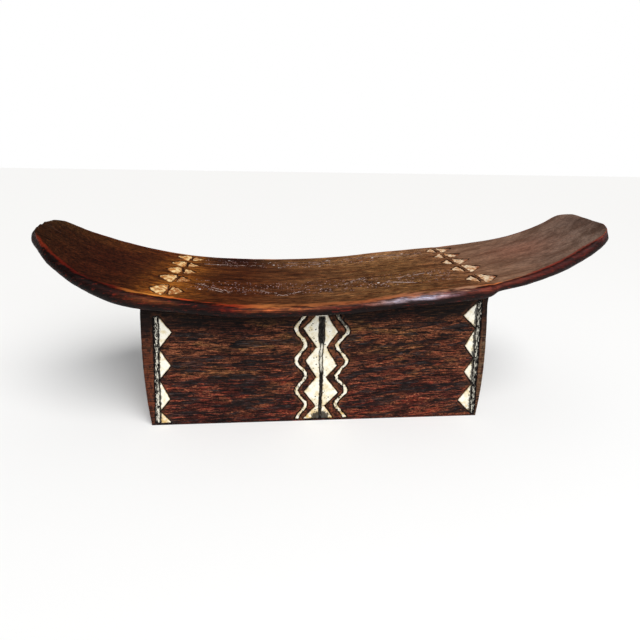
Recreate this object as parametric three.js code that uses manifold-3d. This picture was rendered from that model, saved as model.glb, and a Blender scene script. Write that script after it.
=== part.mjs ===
// Carved African headrest: a curved rest board with upswept wings on a solid block, with kaolin and
// pitch pressed into chip-carved recesses. Millimetres, +Z up, origin at the centre of the underside,
// long side along X, decorated front facing -Y.
import * as THREE from 'three'
import { mergeVertices } from 'three/addons/utils/BufferGeometryUtils.js'
import Module from 'manifold-3d'

// Board stations from the left tip to the right tip, all taken at mid-thickness: place along the
// length, how far the middle strays to the back, height, half width of the flat top, thickness.
const BOARD_STATIONS = [
  [-209, 2, 146, 5.5, 3],
  [-207.8, 1.5, 144.6, 15.5, 6.2],
  [-204.2, 1, 141.5, 24, 8],
  [-197, 0, 136.4, 31, 8.2],
  [-187, 0, 129.6, 41, 8],
  [-166, 0, 118.6, 54, 8.4],
  [-136, 0, 107.8, 60, 11.4],
  [-100, 0, 102.6, 63, 9.8],
  [-60, 0, 99.9, 68.5, 8.2],
  [-20, 0, 99.7, 68.8, 8],
  [20, 0, 101.6, 68, 8.2],
  [60, 0, 105.7, 66.8, 8.8],
  [98, 0, 109.4, 65.5, 9.6],
  [116, 0, 111.6, 64.3, 9],
  [123, 0, 113.6, 63.2, 6.4],
  [148, -0.5, 118.1, 57, 7.3],
  [176, -1.5, 125.2, 47.5, 8.4],
  [197, -0.5, 133.4, 41.5, 9.1],
  [210.5, -1.5, 141.3, 38, 9],
  [219, -0.5, 147.2, 34, 8.8],
  [223, -1, 149.9, 24, 7.4],
  [224.6, -2, 150.7, 11, 4]
]
const RINGS_PER_STATION = 3
const RIM_STEPS = 6 // straight facets round each half-round rim
// The tips are cut askew, so that their back corners reach further out.
const LEFT_TIP_SKEW = 0.18
const RIGHT_TIP_SKEW = 0.27

// Split nick in the left tip: its outline in plan, cut right through the thickness.
const TIP_NICK = [[-213, -3.5], [-213, 4], [-202.8, 0.2]]
const TIP_NICK_HEIGHT = 60

// Base block: half depth, outline bulge and corner rounding.
const BASE_HALF_DEPTH = 49.5
const BASE_FOOT_LEFT = -131
const BASE_FOOT_RIGHT = 128.6
const BASE_BELLY_LEFT = -135
const BASE_BELLY_RIGHT = 132.6
const BASE_TOP_LEFT = -127.6
const BASE_TOP_RIGHT = 122.6
const BASE_BLANK_HEIGHT = 112 // rough height before the top is hollowed to fit the board
const BASE_BELLY_SHARE = 0.4 // the ends bulge most at this share of that height
const BASE_CORNER = 1.2

// Two stub tenons on the block stand in blind mortises under the board.
const TENON_PLACES = [-70, 70]
const TENON_LENGTH = 36
const TENON_DEPTH = 22
const TENON_HEIGHT = 4

const GAP = 0.3 // clearance round every fitted piece
const INLAY_THICKNESS = 1.9
const PROUD = 2 // how far a cutter stands out of the face it cuts

// White diamonds down the middle of a long face: left corner, right corner and the necks between.
const NECK_LEFT = -3.9
const NECK_RIGHT = 3.7
const NECK_GAP = 0.4
const DIAMONDS = [
  { head: 89.5, left: [-13.7, 78.8], right: [12, 75.5], foot: 63.5 },
  { head: 63.5, left: [-11.9, 52.5], right: [12.2, 47.8], foot: 38.2 },
  { head: 38.2, left: [-13.1, 25.9], right: [13.6, 24.3], foot: 13.2 }
]
const LAST_DIAMOND_HEAD = 13.2
const LAST_DIAMOND_LEFT = -13.6
const LAST_DIAMOND_RIGHT = 9.8
const LOW_EDGE = 1.8 // height of the lowest edge of the decoration above the ground

// White wavy lines beside the diamonds.
const WAVES = {
  left: { middle: -15.5, swing: -3.7, crest: 78.5, pitch: 25.7 },
  right: { middle: 15.7, swing: 4.1, crest: 76.5, pitch: 25 }
}
const WAVE_WIDTH = 3
const WAVE_TOP = 89.5
const WAVE_STEPS = 28

// Black pitch lines: place at the ground and at their own top.
const LINE_WIDTH = 2.8
const LINE_DEPTH = 0.9
const LINES = {
  left: { foot: [-126, LOW_EDGE], head: [-119, 89.5] },
  centre: { foot: [0, LOW_EDGE], head: [0, 87] },
  right: { foot: [125.2, LOW_EDGE], head: [118.4, 99] }
}

// White points along the side lines, from the top down: heights of their corners on the line, and
// their free tips. The last left point runs out at the lowest edge.
const POINTS = {
  left: {
    corners: [90, 64.6, 39.1, 12.3, LOW_EDGE],
    tips: [[-108.9, 77], [-112, 50.4], [-114.9, 22.5], [-115.8, LOW_EDGE]]
  },
  right: {
    corners: [98.5, 77, 51.6, 30, LOW_EDGE + 1],
    tips: [[106.8, 87.4], [111.1, 62.4], [113.7, 40], [111.7, 14.4]]
  }
}

// Chip-carved bands across the board: two rows of triangular chips, base to base along a ridge.
// Each chip's middle across the board and its width there; the inner rows are narrower.
const CHIP_THICKNESS = 1.7
const CHIPS = [[-47, 25], [-17, 23], [6.5, 19], [28, 19], [51, 19]]
const CHIP_ROWS = {
  left_outer: { base: -110.6, tip: -121.5, share: 1 },
  left_inner: { base: -107, tip: -98, share: 0.78 },
  right_inner: { base: 113, tip: 105.4, share: 0.78 },
  right_outer: { base: 117, tip: 129, share: 1 }
}

const BOARD_WOOD = { color: 0x4a2a18, roughness: 0.45, metalness: 0 }
const BASE_WOOD = { color: 0x32180f, roughness: 0.6, metalness: 0 }
const KAOLIN = { color: 0xe6dfcf, roughness: 0.85, metalness: 0 }
const PITCH = { color: 0x15110f, roughness: 0.7, metalness: 0 }
const CHIP_FILL = { color: 0xd9b98a, roughness: 0.8, metalness: 0 }

// A three.js geometry as a solid that can be cut.
function solidFrom(geometry) {
  const bare = geometry.clone()
  bare.deleteAttribute('normal')
  bare.deleteAttribute('uv')
  const welded = mergeVertices(bare, 1e-4)
  return new wasm.Manifold(new wasm.Mesh({
    numProp: 3,
    vertProperties: new Float32Array(welded.attributes.position.array),
    triVerts: new Uint32Array(welded.index.array)
  }))
}

// A cut solid as a named mesh of the group.
function addPiece(name, solid, finish) {
  const cut = solid.getMesh()
  const indexed = new THREE.BufferGeometry()
  indexed.setAttribute('position', new THREE.BufferAttribute(cut.vertProperties, 3))
  indexed.setIndex(new THREE.BufferAttribute(cut.triVerts, 1))
  const geometry = indexed.toNonIndexed()
  geometry.computeVertexNormals()
  const mesh = new THREE.Mesh(geometry, new THREE.MeshStandardMaterial(finish))
  mesh.name = name
  group.add(mesh)
}

// The board's middle line, and the half width of its flat top and its thickness along the same
// stations.
const middleLine = new THREE.CatmullRomCurve3(
  BOARD_STATIONS.map(([x, stray, height]) => new THREE.Vector3(x, stray, height))
)
const sectionLine = new THREE.SplineCurve(
  BOARD_STATIONS.map(([, , , halfFlat, thickness]) => new THREE.Vector2(halfFlat, thickness))
)

// The board's cross-section at a share of the way from the left tip to the right tip.
function boardRing(share) {
  const middle = middleLine.getPoint(share)
  const along = middleLine.getTangent(share)
  const section = sectionLine.getPoint(share)
  const run = Math.hypot(along.x, along.z)
  return {
    x: middle.x,
    y: middle.y,
    height: middle.z,
    halfFlat: section.x,
    thickness: section.y,
    upX: -along.z / run,
    upZ: along.x / run,
    skew: (share < 0.5 ? LEFT_TIP_SKEW : RIGHT_TIP_SKEW) * (2 * share - 1) ** 5
  }
}

// A rod bent and flattened into the board, with half-round rims. The extra amounts thicken it
// below and above, for the shape that hollows the top of the block.
function boardGeometry(below, above) {
  const around = 2 * (RIM_STEPS + 1)
  const rings = (BOARD_STATIONS.length - 1) * RINGS_PER_STATION
  const rod = new THREE.CylinderGeometry(1, 1, 1, around, rings)
  const at = rod.attributes.position
  for (let i = 0; i < at.count; i += 1) {
    const ring = boardRing(THREE.MathUtils.clamp(at.getY(i) + 0.5, 0, 1))
    const onAxis = Math.hypot(at.getX(i), at.getZ(i)) < 0.5
    const angle = Math.atan2(at.getX(i), at.getZ(i))
    const step = (Math.round(angle * around / (2 * Math.PI)) + around) % around
    const front = step > RIM_STEPS
    const turn = (step - RIM_STEPS / 2 - (front ? 1 : 0)) * Math.PI / RIM_STEPS
    const radius = ring.thickness / 2
    const reach = (front ? -ring.halfFlat : ring.halfFlat) + radius * Math.cos(turn)
    const lift = radius * Math.sin(turn)
    const extra = above * Number(lift > 1e-6) - below * Number(lift < -1e-6)
    const up = onAxis ? 0 : lift + extra
    const across = ring.y + (onAxis ? 0 : reach)
    const askew = ring.skew * across
    at.setXYZ(i, ring.x + askew + ring.upX * up, across, ring.height + ring.upZ * up)
  }
  return rod
}

// Height and slope of the board's top, and height of its underside, at a place along its length.
function boardAt(x) {
  const steps = 2000
  let nearest = null
  for (let i = 0; i <= steps; i += 1) {
    const ring = boardRing(i / steps)
    const miss = Math.abs(ring.x + ring.upX * ring.thickness / 2 - x)
    if (nearest === null || miss < nearest.miss) {
      const top = ring.height + ring.upZ * ring.thickness / 2
      nearest = {
        miss,
        top,
        slope: Math.atan2(-ring.upX, ring.upZ),
        underside: top - ring.thickness / ring.upZ
      }
    }
  }
  return nearest
}

function outline(points) {
  return new THREE.Shape(points.map(([x, y]) => new THREE.Vector2(x, y)))
}

function plate(shape, depth) {
  return new THREE.ExtrudeGeometry(shape, { depth, bevelEnabled: false })
}

// The same plate grown by the clearance, for cutting its recess.
function grownPlate(shape, depth) {
  return new THREE.ExtrudeGeometry(shape, {
    depth,
    bevelThickness: GAP,
    bevelSize: GAP,
    bevelSegments: 1
  })
}

// Stands a plate drawn flat upright in the front (-1) or back (+1) face of the block, reaching
// from `proud` outside that face inwards by its depth.
function onFace(geometry, side, depth, proud) {
  const outer = BASE_HALF_DEPTH + proud
  geometry.rotateX(Math.PI / 2)
  geometry.translate(0, side < 0 ? depth - outer : outer, 0)
  return solidFrom(geometry)
}

function facePlate(shape, side, thickness) {
  return onFace(plate(shape, thickness), side, thickness, 0)
}

function faceRecess(shape, side, depth) {
  return onFace(grownPlate(shape, depth + PROUD), side, depth + PROUD, PROUD)
}

function diamondShapes() {
  const whole = DIAMONDS.map(({ head, left, right, foot }) => outline([
    [NECK_LEFT, head - NECK_GAP],
    left,
    [NECK_LEFT, foot + NECK_GAP],
    [NECK_RIGHT, foot + NECK_GAP],
    right,
    [NECK_RIGHT, head - NECK_GAP]
  ]))
  const cutOff = outline([
    [NECK_LEFT, LAST_DIAMOND_HEAD - NECK_GAP],
    [LAST_DIAMOND_LEFT, LOW_EDGE],
    [LAST_DIAMOND_RIGHT, LOW_EDGE],
    [NECK_RIGHT, LAST_DIAMOND_HEAD - NECK_GAP]
  ])
  return [...whole, cutOff]
}

function waveShape({ middle, swing, crest, pitch }) {
  const upwards = []
  const downwards = []
  for (let i = 0; i <= WAVE_STEPS; i += 1) {
    const height = LOW_EDGE + (WAVE_TOP - LOW_EDGE) * i / WAVE_STEPS
    const x = middle + swing * Math.cos(2 * Math.PI * (height - crest) / pitch)
    upwards.push([x + WAVE_WIDTH / 2, height])
    downwards.unshift([x - WAVE_WIDTH / 2, height])
  }
  return outline([...upwards, ...downwards])
}

function lineShape({ foot, head }) {
  const half = LINE_WIDTH / 2
  return outline([
    [foot[0] - half, foot[1]],
    [foot[0] + half, foot[1]],
    [head[0] + half, head[1]],
    [head[0] - half, head[1]]
  ])
}

// Points with their bases along the inner edge of a side line.
function pointShapes({ foot, head }, { corners, tips }, inward) {
  const lean = (head[0] - foot[0]) / (head[1] - foot[1])
  const inset = inward * (LINE_WIDTH / 2 + 2 * GAP)
  const onLine = (height) => [foot[0] + lean * (height - foot[1]) + inset, height]
  return tips.map((tip, i) => outline([onLine(corners[i] - NECK_GAP), tip, onLine(corners[i + 1])]))
}

// Every white shape of one long face, by name.
function whiteShapes() {
  const shapes = {}
  diamondShapes().forEach((shape, i) => {
    shapes[`diamond_${i + 1}`] = shape
  })
  for (const [hand, inward] of [['left', 1], ['right', -1]]) {
    shapes[`wave_${hand}`] = waveShape(WAVES[hand])
    pointShapes(LINES[hand], POINTS[hand], inward).forEach((shape, i) => {
      shapes[`point_${hand}_${i + 1}`] = shape
    })
  }
  return shapes
}

// The block before it is fitted: its side view with bulging ends, carried through its depth.
function blockBlank() {
  const side = new THREE.Shape()
  const belly = BASE_BLANK_HEIGHT * BASE_BELLY_SHARE
  side.moveTo(BASE_FOOT_LEFT, 0)
  side.lineTo(BASE_FOOT_RIGHT, 0)
  side.quadraticCurveTo(BASE_BELLY_RIGHT, belly, BASE_TOP_RIGHT, BASE_BLANK_HEIGHT)
  side.lineTo(BASE_TOP_LEFT, BASE_BLANK_HEIGHT)
  side.quadraticCurveTo(BASE_BELLY_LEFT, belly, BASE_FOOT_LEFT, 0)
  const depth = 2 * (BASE_HALF_DEPTH - BASE_CORNER)
  const blank = new THREE.ExtrudeGeometry(side, {
    depth,
    curveSegments: 10,
    bevelThickness: BASE_CORNER,
    bevelSize: BASE_CORNER,
    bevelOffset: -BASE_CORNER,
    bevelSegments: 3
  })
  blank.rotateX(Math.PI / 2)
  blank.translate(0, depth / 2, 0)
  return solidFrom(blank)
}

// A box half above and half below the underside of the board, tilted with it.
function tenonBox(x, margin) {
  const { slope, underside } = boardAt(x)
  const box = new THREE.BoxGeometry(
    TENON_LENGTH + 2 * margin, TENON_DEPTH + 2 * margin, 2 * (TENON_HEIGHT + margin)
  )
  box.rotateY(-slope)
  box.translate(x, 0, underside)
  return solidFrom(box)
}

const wasm = await Module()
wasm.setup()

const group = new THREE.Group()
group.name = 'headrest'

// The block's top is hollowed to follow the underside of the board, and its tenons stand in
// mortises there.
let board = solidFrom(boardGeometry(0, 0))
let block = blockBlank().subtract(solidFrom(boardGeometry(GAP, BASE_BLANK_HEIGHT / 2)))
for (const x of TENON_PLACES) {
  block = block.add(tenonBox(x, 0))
  board = board.subtract(tenonBox(x, GAP))
}

// The centre line runs over the diamonds, in a groove of its own.
for (const [face, side] of [['front', -1], ['back', 1]]) {
  const groove = faceRecess(lineShape(LINES.centre), side, LINE_DEPTH)
  for (const [name, shape] of Object.entries(whiteShapes())) {
    const filling = facePlate(shape, side, INLAY_THICKNESS).subtract(groove)
    addPiece(`${face}_${name}`, filling, KAOLIN)
    block = block.subtract(faceRecess(shape, side, INLAY_THICKNESS))
  }
  for (const [hand, line] of Object.entries(LINES)) {
    addPiece(`${face}_line_${hand}`, facePlate(lineShape(line), side, LINE_DEPTH), PITCH)
    block = block.subtract(faceRecess(lineShape(line), side, LINE_DEPTH))
  }
}

// Chips of the bands, flush with the board's top on floors parallel to it.
const uncutBoard = board
for (const [row, { base, tip, share }] of Object.entries(CHIP_ROWS)) {
  const x = (base + tip) / 2
  const { top, slope } = boardAt(x)
  CHIPS.forEach(([middle, width], i) => {
    const half = share * width / 2
    const chip = outline([[base - x, -half], [tip - x, 0], [base - x, half]])
    const onBoard = (geometry) => {
      geometry.translate(0, 0, -CHIP_THICKNESS)
      geometry.rotateY(-slope)
      geometry.translate(x, middle, top)
      return solidFrom(geometry)
    }
    const filling = onBoard(plate(chip, CHIP_THICKNESS + PROUD)).intersect(uncutBoard)
    addPiece(`chip_${row}_${i + 1}`, filling, CHIP_FILL)
    board = board.subtract(onBoard(grownPlate(chip, CHIP_THICKNESS + PROUD)))
  })
}

const nick = plate(outline(TIP_NICK), TIP_NICK_HEIGHT)
nick.translate(0, 0, BASE_BLANK_HEIGHT)
board = board.subtract(solidFrom(nick))

addPiece('base_block', block, BASE_WOOD)
addPiece('headrest_board', board, BOARD_WOOD)

export default group
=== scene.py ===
import math

import bpy
import numpy as np
from mathutils import Matrix, Vector
from mathutils.bvhtree import BVHTree


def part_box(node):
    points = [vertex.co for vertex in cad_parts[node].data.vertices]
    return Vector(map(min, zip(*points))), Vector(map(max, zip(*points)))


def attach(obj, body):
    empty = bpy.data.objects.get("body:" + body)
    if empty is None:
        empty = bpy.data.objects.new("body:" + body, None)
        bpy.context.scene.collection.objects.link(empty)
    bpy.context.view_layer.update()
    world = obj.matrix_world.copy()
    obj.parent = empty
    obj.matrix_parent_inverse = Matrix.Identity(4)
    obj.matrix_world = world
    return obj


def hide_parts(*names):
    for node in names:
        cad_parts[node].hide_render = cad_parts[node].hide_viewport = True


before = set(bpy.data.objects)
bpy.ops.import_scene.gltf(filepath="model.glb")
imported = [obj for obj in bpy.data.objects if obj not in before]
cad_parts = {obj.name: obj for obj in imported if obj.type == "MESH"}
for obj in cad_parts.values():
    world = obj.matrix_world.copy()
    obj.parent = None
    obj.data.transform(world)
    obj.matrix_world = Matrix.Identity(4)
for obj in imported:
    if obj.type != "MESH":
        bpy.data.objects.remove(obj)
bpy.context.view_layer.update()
MM = 0.001

# The carved board in millimetres, stations from the left tip to the right tip, as in the CAD model:
# place along the length, stray to the back, height, half width of the flat top, thickness.
STATIONS = np.array([
    [-209, 2, 146, 5.5, 3],
    [-207.8, 1.5, 144.6, 15.5, 6.2],
    [-204.2, 1, 141.5, 24, 8],
    [-197, 0, 136.4, 31, 8.2],
    [-187, 0, 129.6, 41, 8],
    [-166, 0, 118.6, 54, 8.4],
    [-136, 0, 107.8, 60, 11.4],
    [-100, 0, 102.6, 63, 9.8],
    [-60, 0, 99.9, 68.5, 8.2],
    [-20, 0, 99.7, 68.8, 8],
    [20, 0, 101.6, 68, 8.2],
    [60, 0, 105.7, 66.8, 8.8],
    [98, 0, 109.4, 65.5, 9.6],
    [116, 0, 111.6, 64.3, 9],
    [123, 0, 113.6, 63.2, 6.4],
    [148, -0.5, 118.1, 57, 7.3],
    [176, -1.5, 125.2, 47.5, 8.4],
    [197, -0.5, 133.4, 41.5, 9.1],
    [210.5, -1.5, 141.3, 38, 9],
    [219, -0.5, 147.2, 34, 8.8],
    [223, -1, 149.9, 24, 7.4],
    [224.6, -2, 150.7, 11, 4],
])
LEFT_TIP_SKEW, RIGHT_TIP_SKEW = 0.18, 0.27
NICK_FROM, NICK_TO = -3.5, 4  # the split nick in the left tip, across the board
NICK_DEPTH = 0.9375  # in legs of the station curve
NICK_FADES = 3.2  # legs from the tip over which the pull dies away
SECTION_POWER = 0.84  # 1 is a round rim, less is squarer
TIP_ROUNDING = 24, 26  # how far from the left and right tips the top rounds over
BAND_AT = 113  # how far the middles of the chip bands lie from the board's middle
FAR = 99.0  # stands for any distance too large to matter

# How densely the board is meshed: rings along it, columns across the top, rims and underside.
RINGS = 470
TOP_COLUMNS = 108
RIM_COLUMNS = 14
UNDER_COLUMNS = 46

POCKET_DEPTH = 1.6  # under the chips
RECESS_DEPTH = 2.0  # under the fillings of the block
CHIP_ROWS = {"left_outer": -1, "left_inner": 1, "right_inner": -1, "right_outer": 1}
CHIPS_PER_ROW = 5
# How high each row's chips stand, and how far their sides bow out.
CROWN = {"left_outer": 0.9, "left_inner": 0.3, "right_inner": 0.3, "right_outer": 0.2}
CHIP_BULGE = {"left_outer": 1.3, "left_inner": 0.6, "right_inner": 0.5, "right_outer": 0.3}


# ------ repeatable noise and distances
def lattice(cells, seed):
    """A repeatable value from 0 to 1 for each whole-number lattice point."""
    mixed = (cells[:, 0] * 73856093) ^ (cells[:, 1] * 19349663) ^ (cells[:, 2] * 83492791)
    mixed = (mixed ^ (seed * 2654435)) & 0x7FFFFFFF
    mixed = ((mixed ^ (mixed >> 13)) * 1274126177) & 0x7FFFFFFF
    mixed = ((mixed ^ (mixed >> 16)) * 668265263) & 0x7FFFFFFF
    return ((mixed >> 8) & 0xFFFF) / 65535


def lumps(places, size, seed, octaves=3):
    """Smooth noise from about -1 to 1 at places; size is a lump's size, or its size along each axis."""
    at = np.asarray(places, float) / np.asarray(size, float)
    total, reach, weight = np.zeros(len(at)), 0.0, 1.0
    for octave in range(octaves):
        whole = np.floor(at).astype(np.int64)
        part = at - whole
        part = part * part * (3 - 2 * part)
        value = np.zeros(len(at))
        for corner in np.ndindex(2, 2, 2):
            share = np.prod(np.where(corner, part, 1 - part), axis=1)
            value += share * lattice(whole + np.array(corner), seed + octave)
        total += weight * (2 * value - 1)
        reach += weight
        weight *= 0.5
        at = at * 2 + 17.3
    return total / reach


def segment_distance(points, segments):
    """Distance from each point to the nearest of the segments, in the plane."""
    best = np.full(len(points), 1e9)
    for a, b in segments:
        run = b - a
        share = np.clip(((points - a) @ run) / max(run @ run, 1e-9), 0, 1)
        best = np.minimum(best, np.linalg.norm(points - a - share[:, None] * run, axis=1))
    return best


def signed_distance(points, segments):
    """Distance to a closed outline given as segments, below zero inside it."""
    inside = np.zeros(len(points), bool)
    for a, b in segments:
        if a[1] == b[1]:
            continue
        crosses = (a[1] > points[:, 1]) != (b[1] > points[:, 1])
        x = a[0] + (points[:, 1] - a[1]) * (b[0] - a[0]) / (b[1] - a[1])
        inside ^= crosses & (points[:, 0] < x)
    away = segment_distance(points, segments)
    return np.where(inside, -away, away)


def closed(corners):
    return [(np.array(a, float), np.array(b, float)) for a, b in zip(corners, corners[1:] + corners[:1])]


def ease(value, low, high):
    """0 below low, 1 above high, smooth between."""
    share = np.clip((value - low) / (high - low), 0, 1)
    return share * share * (3 - 2 * share)


# ------ the board's shape
def hermite(p1, p2, t1, t2, part):
    return (
        p1 + t1 * part
        + (-3 * p1 + 3 * p2 - 2 * t1 - t2) * part**2
        + (2 * p1 - 2 * p2 + t1 + t2) * part**3
    )


def along_curve(points, share, centripetal):
    """The smooth curve through the points at shares of its way, as three.js draws it."""
    count = len(points)
    at = np.clip(share, 0, 1) * (count - 1)
    leg = np.minimum(at.astype(int), count - 2)
    part = (at - leg)[:, None]
    if centripetal:
        before, after = 2 * points[0] - points[1], 2 * points[-1] - points[-2]
    else:
        before, after = points[0], points[-1]
    full = np.vstack([before, points, after])
    p0, p1, p2, p3 = (full[leg + k] for k in range(4))
    if not centripetal:
        return hermite(p1, p2, (p2 - p0) / 2, (p3 - p1) / 2, part)
    d0, d1, d2 = (np.sqrt(np.linalg.norm(b - a, axis=1))[:, None] for a, b in ((p0, p1), (p1, p2), (p2, p3)))
    t1 = ((p1 - p0) / d0 - (p2 - p0) / (d0 + d1) + (p2 - p1) / d1) * d1
    t2 = ((p2 - p1) / d1 - (p3 - p1) / (d1 + d2) + (p3 - p2) / d2) * d1
    return hermite(p1, p2, t1, t2, part)


def board_ring(share):
    """Middle point, upward direction, half width of the flat top and thickness at shares."""
    step = 1e-4
    middle = along_curve(STATIONS[:, :3], share, True)
    run = along_curve(STATIONS[:, :3], share + step, True) - along_curve(STATIONS[:, :3], share - step, True)
    run /= np.hypot(run[:, 0], run[:, 2])[:, None]
    up = np.stack([-run[:, 2], np.zeros(len(run)), run[:, 0]], 1)
    section = along_curve(STATIONS[:, 3:], share, False)
    return middle, up, section[:, 0], section[:, 1]


def board_place(share, across, lift):
    middle, up, _, _ = board_ring(share)
    place = middle + up * lift[:, None]
    place[:, 1] += across
    skew = np.where(share < 0.5, LEFT_TIP_SKEW, RIGHT_TIP_SKEW)
    place[:, 0] += skew * (2 * share - 1) ** 5 * place[:, 1]
    return place


def ring_shares():
    """Shares of the rings: even along the length, closer at the tips and in the chip bands."""
    dense = np.linspace(0, 1, 6000)
    middle = board_ring(dense)[0]
    step = np.linalg.norm(np.diff(middle, axis=0), axis=1)
    x = middle[1:, 0]
    crowd = 1 + 2.2 * (x < -196) + 2.2 * (x > 212) + 0.35 * (np.abs(np.abs(x) - BAND_AT) < 20)
    total = np.concatenate([[0], np.cumsum(step * crowd)])
    return np.interp(np.linspace(0, total[-1], RINGS), total, dense)


def bulged(corners, bulge):
    """A triangle with its sides bowed outwards and its corners cut, as a pocket worn full."""
    centre = np.mean(corners, 0)
    points = []
    for a, b in zip(np.array(corners, float), np.array(corners[1:] + corners[:1], float)):
        out = (a + b) / 2 - centre
        out /= np.linalg.norm(out)
        for share in (0.06, 0.25, 0.5, 0.75, 0.94):
            points.append(a + (b - a) * share + out * bulge * 4 * share * (1 - share))
    return points


def chip_outlines():
    """Each chip pocket's outline in plan, in mm, with its row name, base and tip."""
    chips = {}
    for row, towards in CHIP_ROWS.items():
        for i in range(1, CHIPS_PER_ROW + 1):
            lo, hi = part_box(f"chip_{row}_{i}")
            lo, hi = np.array(lo) / MM, np.array(hi) / MM
            base, tip = (lo[0], hi[0]) if towards > 0 else (hi[0], lo[0])
            middle = (lo[1] + hi[1]) / 2
            outline = bulged([(base, lo[1]), (tip, middle), (base, hi[1])], CHIP_BULGE[row])
            chips[f"chip_{row}_{i}"] = (row, outline, base, tip)
    return chips


CHIPS = chip_outlines()


def srgb(*values):
    """Linear colour from 0-255 display values."""
    return [(v / 255 / 12.92) if v < 11 else ((v / 255 + 0.055) / 1.055) ** 2.4 for v in values]


def tone_along(x, stops):
    """Colour at places along the length, from named stops of (x in mm, display colour)."""
    keys = [k for k, _ in stops]
    values = np.array([srgb(*c) for _, c in stops])
    return np.stack([np.interp(x, keys, values[:, k]) for k in range(3)], 1)


def mixed(a, b, share):
    share = np.clip(share, 0, 1)[:, None]
    return a * (1 - share) + b * share


# Colours of the board from left to right; the greyer, paler tones on the right wing, here and in the rear
# tones, are a painted sheen.
TOP_TONES = [
    (-208, (58, 34, 14)), (-165, (64, 27, 10)), (-120, (72, 33, 10)), (-98, (96, 54, 19)),
    (-60, (92, 48, 19)), (0, (114, 78, 48)), (70, (130, 94, 57)), (112, (134, 94, 64)),
    (128, (142, 108, 86)), (170, (128, 102, 88)), (205, (132, 110, 98)), (228, (92, 70, 62)),
]
REAR_TONES = [
    (-208, (62, 42, 20)), (-160, (94, 52, 18)), (-125, (84, 38, 12)), (-100, (46, 19, 8)),
    (-60, (54, 23, 10)), (0, (136, 98, 60)), (70, (180, 140, 98)), (112, (136, 100, 72)),
    (128, (142, 108, 86)), (228, (132, 108, 96)),
]
# Colours of the crest line: worn wood, and a painted highlight along the edge.
CREST_TONES = [
    (-208, (120, 40, 16)), (-170, (84, 12, 5)), (-140, (96, 16, 6)), (-116, (236, 150, 64)),
    (-96, (196, 70, 30)), (-62, (158, 46, 20)), (-40, (180, 108, 56)), (0, (150, 86, 48)),
    (30, (160, 88, 52)), (52, (170, 104, 66)), (66, (176, 112, 84)), (104, (180, 134, 104)),
    (116, (226, 124, 66)), (126, (226, 124, 66)), (150, (128, 46, 34)), (205, (124, 44, 32)),
    (220, (200, 90, 48)), (228, (120, 40, 26)),
]
# The upper half of the rim below the crest: a painted highlight where it would catch the light, with worn
# wood in places.
RIM_HIGHLIGHT_TONES = [
    (-208, (36, 9, 6)), (-140, (34, 8, 5)), (-124, (104, 54, 22)), (-108, (112, 62, 26)),
    (-94, (52, 16, 8)), (-80, (48, 11, 6)),
    (-64, (118, 30, 14)), (-45, (160, 92, 50)), (-22, (150, 90, 52)), (0, (108, 54, 34)),
    (24, (96, 46, 32)), (38, (146, 114, 112)), (52, (184, 182, 204)), (72, (180, 182, 210)),
    (86, (130, 112, 128)), (100, (112, 58, 48)), (114, (120, 54, 38)), (160, (80, 24, 20)),
    (228, (76, 24, 20)),
]
RIM_TONES = [
    (-208, (20, 5, 4)), (-150, (20, 5, 4)), (-118, (62, 22, 9)), (-100, (28, 7, 4)),
    (-60, (40, 8, 5)), (-30, (44, 13, 7)), (10, (30, 8, 5)), (40, (56, 16, 10)),
    (80, (56, 16, 10)), (112, (66, 24, 16)), (150, (52, 16, 14)), (228, (56, 20, 17)),
]


def paint(mesh, name, values):
    """Stores a number or a colour for every vertex, for the materials to read."""
    if values.ndim == 1:
        layer = mesh.attributes.new(name, "FLOAT", "POINT")
        layer.data.foreach_set("value", values.astype(np.float32))
    else:
        layer = mesh.attributes.new(name, "FLOAT_COLOR", "POINT")
        full = np.ones((len(values), 4), np.float32)
        full[:, :3] = values
        layer.data.foreach_set("color", full.ravel())


def paint_all(mesh, **shares):
    for name, values in shares.items():
        paint(mesh, name, values)


def placed(name, data):
    thing = bpy.data.objects.new(name, data)
    bpy.context.scene.collection.objects.link(thing)
    return thing


def add_object(name, mesh, material):
    piece = placed(name, mesh)
    mesh.materials.clear()
    mesh.materials.append(material)
    mesh.polygons.foreach_set("use_smooth", np.ones(len(mesh.polygons), bool))
    return piece


def stands_for(piece, node):
    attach(piece, "root")
    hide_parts(node)


def mesh_from(name, places, faces):
    mesh = bpy.data.meshes.new(name)
    mesh.from_pydata((places * MM).tolist(), [], faces)
    mesh.update()
    return mesh


def strip(a, b):
    """Faces between two closed rings of vertex numbers."""
    return [tuple(map(int, quad)) for quad in zip(a, np.roll(a, -1), np.roll(b, -1), b)]


TOP, BACK, UNDER, FRONT = range(4)


def section_loop():
    """One closed loop round the section: the part of it and where on that part, front to back first."""
    loop = [(TOP, -1 + 2 * k / (TOP_COLUMNS - 1)) for k in range(TOP_COLUMNS)]
    loop += [(BACK, math.pi / 2 - math.pi * k / RIM_COLUMNS) for k in range(1, RIM_COLUMNS)]
    loop += [(UNDER, 1 - 2 * k / (UNDER_COLUMNS - 1)) for k in range(UNDER_COLUMNS)]
    loop += [(FRONT, -math.pi / 2 + math.pi * k / RIM_COLUMNS) for k in range(1, RIM_COLUMNS)]
    return loop


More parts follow.
